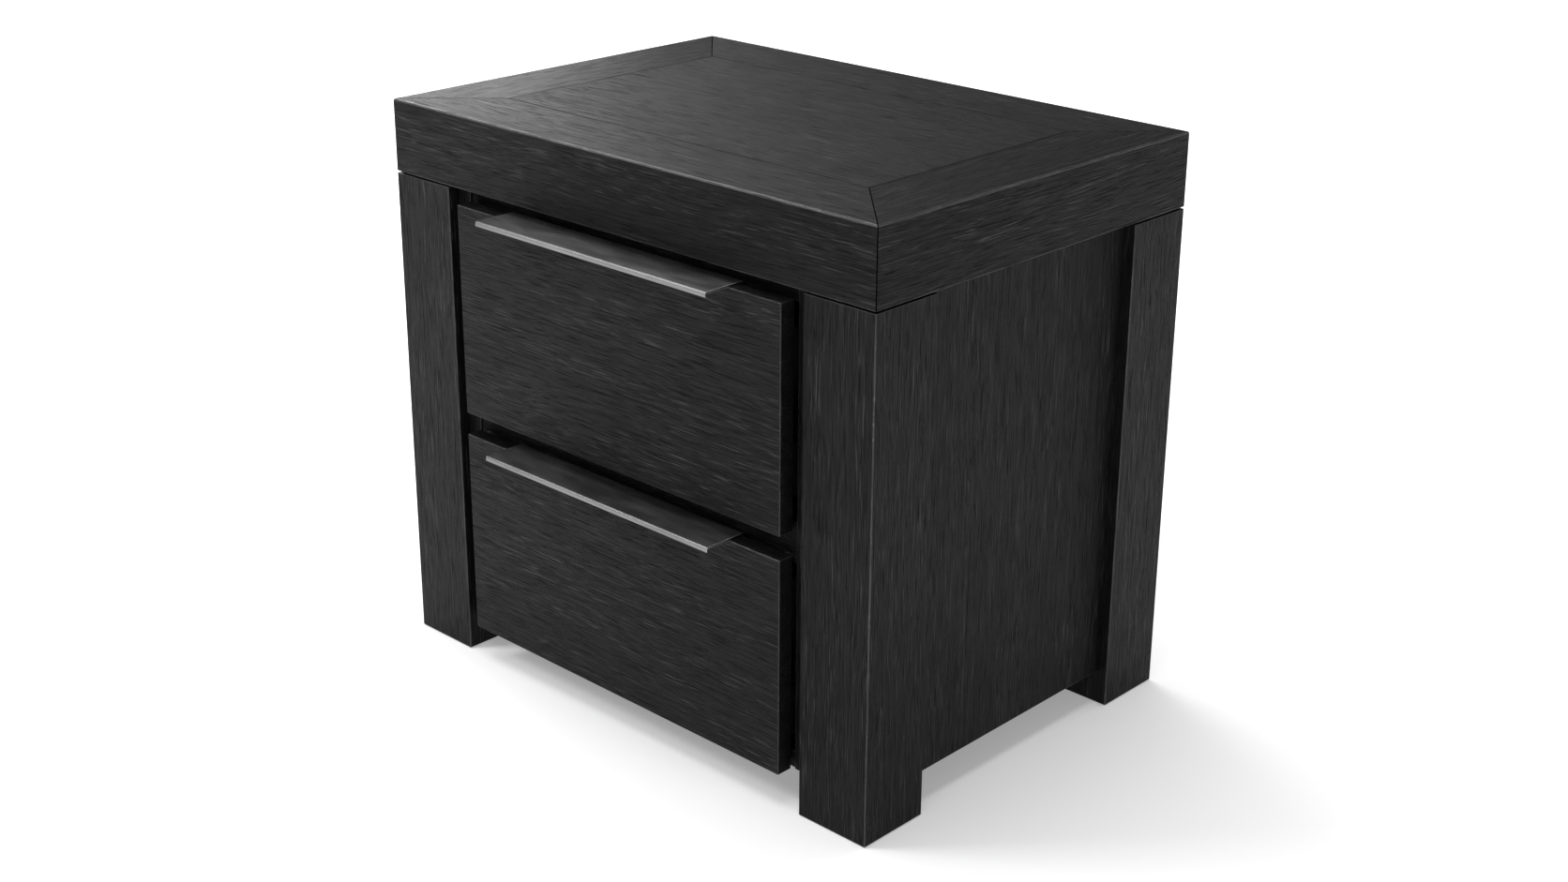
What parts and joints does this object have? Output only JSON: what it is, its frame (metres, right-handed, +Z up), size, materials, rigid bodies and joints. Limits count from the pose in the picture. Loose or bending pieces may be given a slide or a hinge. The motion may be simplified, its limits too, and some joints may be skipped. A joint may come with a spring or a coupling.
{
  "type": "nightstand",
  "caption": "Low black-stained wooden nightstand with a thick mitred top, square legs and drawers that open by long bent-plate edge pulls.",
  "frame": {"origin": "on the floor, under the middle of the bounding box with the drawers closed", "axes": "+X to the right seen from the front, -Y out of the drawer fronts towards the user, +Z up"},
  "size_m": [0.66, 0.495, 0.6],
  "materials": {
    "black_stained_wood": "black stain, satin lacquer over brushed open grain",
    "core_board": "raw laminated softwood, hidden",
    "drawer_board": "smoke-stained birch plywood, clear lacquer",
    "dark_bronzed_plate": "blackened, fine brushed steel plate",
    "slide_steel": "black electro-coated steel sheet",
    "zinc_screw": "zinc-plated",
    "glide_plastic": "matt moulded",
    "felt": "pressed felt"
  },
  "bodies": {
    "case": {"leg_front_left": "black_stained_wood", "leg_front_right": "black_stained_wood", "leg_back_left": "black_stained_wood", "leg_back_right": "black_stained_wood", "top_panel": "black_stained_wood", "top_core": "core_board", "top_border_front": "black_stained_wood", "top_border_back": "black_stained_wood", "top_border_left": "black_stained_wood", "top_border_right": "black_stained_wood", "top_fascia_front": "black_stained_wood", "top_fascia_back": "black_stained_wood", "top_fascia_left": "black_stained_wood", "top_fascia_right": "black_stained_wood", "side_panel_left": "black_stained_wood", "side_panel_right": "black_stained_wood", "case_side_left": "black_stained_wood", "case_side_right": "black_stained_wood", "case_bottom": "black_stained_wood", "back_panel": "black_stained_wood", "front_top_rail": "black_stained_wood", "back_top_rail": "black_stained_wood", "middle_rail": "black_stained_wood", "foot_glides": "glide_plastic", "case_screws": "zinc_screw", "drawer_bumpers": "felt", "cabinet_slide_screws": "zinc_screw", "upper_slide_cabinet_left": "slide_steel", "upper_slide_cabinet_right": "slide_steel", "lower_slide_cabinet_left": "slide_steel", "lower_slide_cabinet_right": "slide_steel"},
    "upper_drawer": {"upper_slide_drawer_left": "slide_steel", "upper_drawer_side_left": "drawer_board", "upper_slide_drawer_right": "slide_steel", "upper_drawer_side_right": "drawer_board", "upper_drawer_front": "black_stained_wood", "upper_drawer_handle": "dark_bronzed_plate", "upper_drawer_box_front": "drawer_board", "upper_drawer_box_back": "drawer_board", "upper_drawer_bottom": "drawer_board", "upper_handle_screws": "zinc_screw", "upper_front_screws": "zinc_screw", "upper_slide_screws": "zinc_screw"},
    "upper_slide_middles": {"upper_slide_middle_left": "slide_steel", "upper_slide_middle_right": "slide_steel"},
    "lower_drawer": {"lower_slide_drawer_left": "slide_steel", "lower_drawer_side_left": "drawer_board", "lower_slide_drawer_right": "slide_steel", "lower_drawer_side_right": "drawer_board", "lower_drawer_front": "black_stained_wood", "lower_drawer_handle": "dark_bronzed_plate", "lower_drawer_box_front": "drawer_board", "lower_drawer_box_back": "drawer_board", "lower_drawer_bottom": "drawer_board", "lower_handle_screws": "zinc_screw", "lower_front_screws": "zinc_screw", "lower_slide_screws": "zinc_screw"},
    "lower_slide_middles": {"lower_slide_middle_left": "slide_steel", "lower_slide_middle_right": "slide_steel"}
  },
  "joints": [
    {"name": "upper_drawer_slide", "type": "slide", "parent": "case", "child": "upper_drawer", "axis": [0, -1, 0], "range_m": [0, 0.35]},
    {"name": "upper_slide_middles_slide", "type": "slide", "parent": "case", "child": "upper_slide_middles", "axis": [0, -1, 0], "range_m": [0, 0.175]},
    {"name": "lower_drawer_slide", "type": "slide", "parent": "case", "child": "lower_drawer", "axis": [0, -1, 0], "range_m": [0, 0.35]},
    {"name": "lower_slide_middles_slide", "type": "slide", "parent": "case", "child": "lower_slide_middles", "axis": [0, -1, 0], "range_m": [0, 0.175]}
  ],
  "couplings": [
    {"joint": "upper_slide_middles_slide", "follows": "upper_drawer_slide", "ratio": 0.5},
    {"joint": "lower_slide_middles_slide", "follows": "lower_drawer_slide", "ratio": 0.5}
  ]
}
